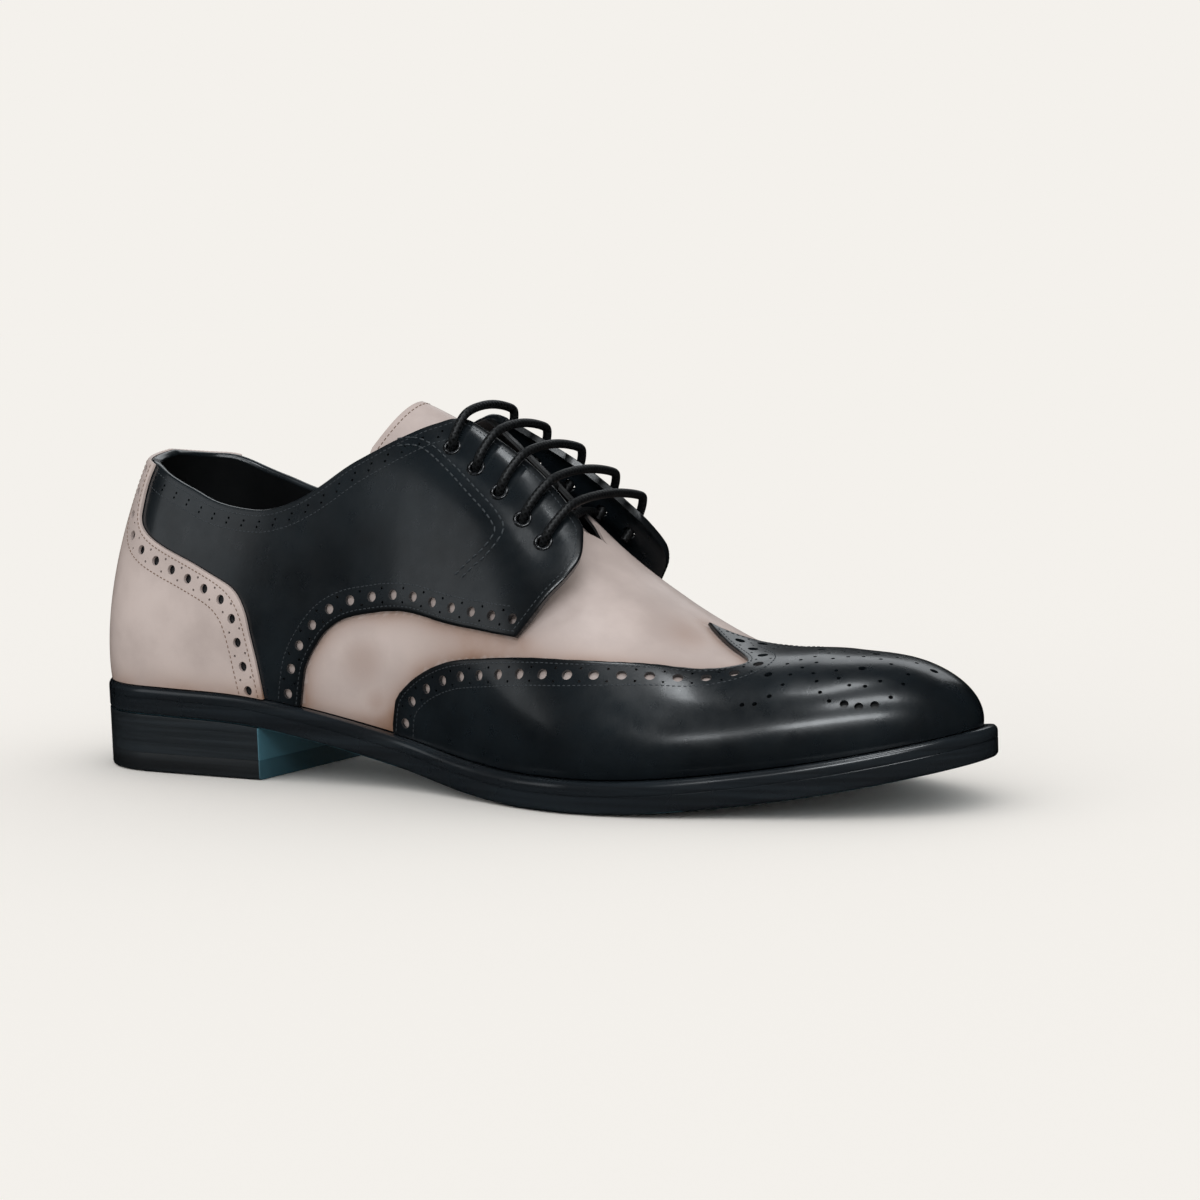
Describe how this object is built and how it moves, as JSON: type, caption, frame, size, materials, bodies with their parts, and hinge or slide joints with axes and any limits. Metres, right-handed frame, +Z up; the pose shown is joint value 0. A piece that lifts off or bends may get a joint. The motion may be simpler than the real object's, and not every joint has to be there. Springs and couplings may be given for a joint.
{
  "type": "spectator shoe",
  "caption": "Right two-tone dress shoe with open lacing, punched wing toe cap, heel counter, leather sole and low stacked heel.",
  "frame": {"origin": "middle of the heel's bottom face, on the floor", "axes": "+X towards the toe, +Y towards the inner side of the foot, +Z up"},
  "size_m": [0.3079, 0.0983, 0.1141],
  "materials": {
    "pale_calf": "smooth, half gloss",
    "black_calf": "polished",
    "sole_leather": "polished edge",
    "stacked_heel": "waxed",
    "top_lift_rubber": "matt",
    "sock_lining": "matt",
    "waxed_cord": "waxed",
    "eyelet_enamel": "half gloss"
  },
  "bodies": {
    "root": {"eyelet_inner_1": "eyelet_enamel", "eyelet_inner_2": "eyelet_enamel", "eyelet_inner_3": "eyelet_enamel", "eyelet_inner_4": "eyelet_enamel", "eyelet_inner_5": "eyelet_enamel", "eyelet_outer_1": "eyelet_enamel", "eyelet_outer_2": "eyelet_enamel", "eyelet_outer_3": "eyelet_enamel", "eyelet_outer_4": "eyelet_enamel", "eyelet_outer_5": "eyelet_enamel", "heel_counter": "pale_calf", "heel_stack": "stacked_heel", "heel_top_lift": "top_lift_rubber", "insole": "sock_lining", "lace_bar_1": "waxed_cord", "lace_bar_2": "waxed_cord", "lace_bar_3": "waxed_cord", "lace_bar_4": "waxed_cord", "lace_bar_5": "waxed_cord", "outsole": "sole_leather", "quarter_inner": "black_calf", "quarter_outer": "black_calf", "tongue": "pale_calf", "upper": "pale_calf", "welt": "sole_leather", "wing_cap": "black_calf"}
  },
  "joints": []
}
